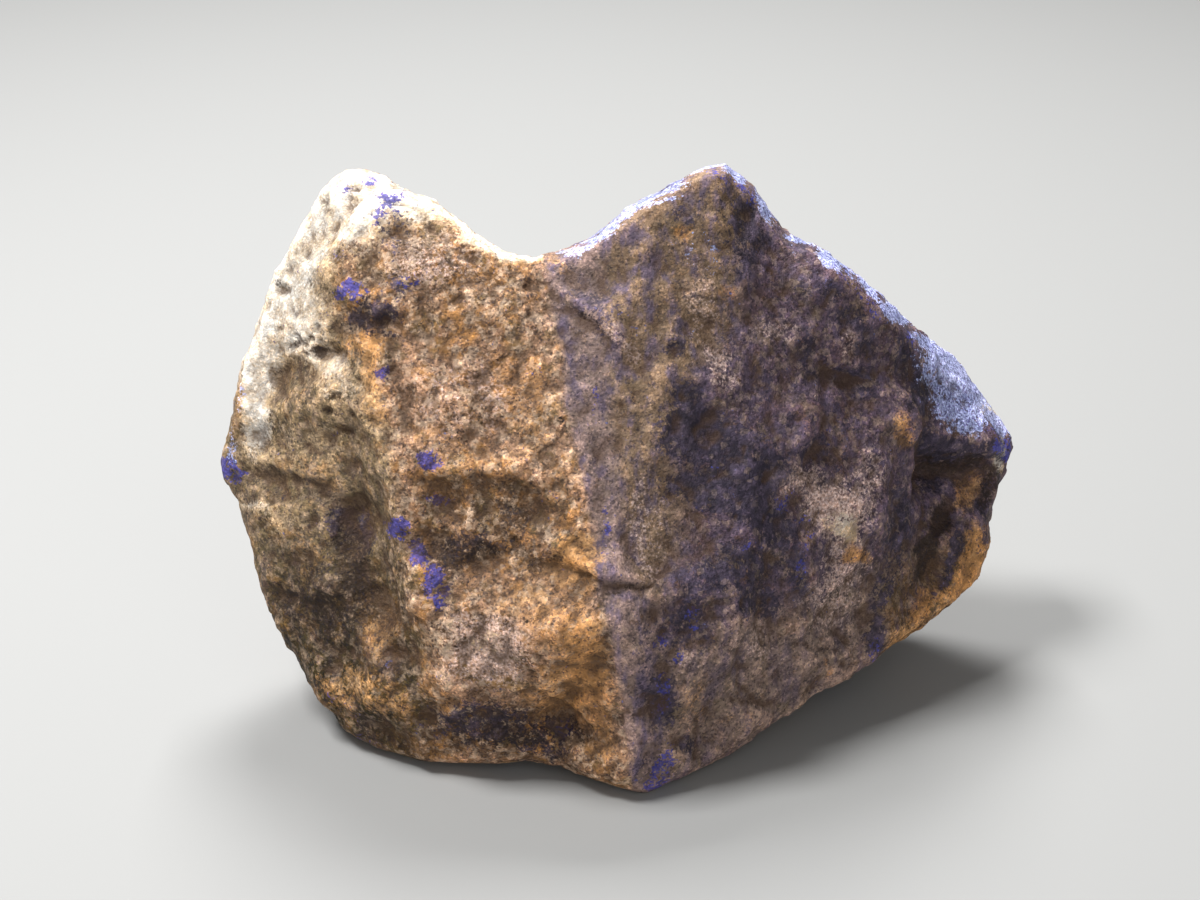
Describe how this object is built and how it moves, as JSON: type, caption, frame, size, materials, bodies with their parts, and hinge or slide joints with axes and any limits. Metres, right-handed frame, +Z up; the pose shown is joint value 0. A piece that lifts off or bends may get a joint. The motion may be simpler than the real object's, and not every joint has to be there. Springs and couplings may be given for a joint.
{
  "type": "raw lapis lazuli",
  "caption": "Rough, unpolished lump of deep blue and tan lapis lazuli rock with two peaks and broken, pitted faces; stands on its own worn feet.",
  "frame": {"origin": "on the ground under the middle of the stone's box", "axes": "+Z up as the stone stands; +X along its longest extent, towards the thin end; the broad broken face with the two peaks above it looks along -Y"},
  "size_m": [0.0694, 0.0372, 0.0479],
  "materials": {
    "stone": "rough, granular, mottled"
  },
  "bodies": {
    "root": {"lapis_lazuli": "stone"}
  },
  "joints": []
}
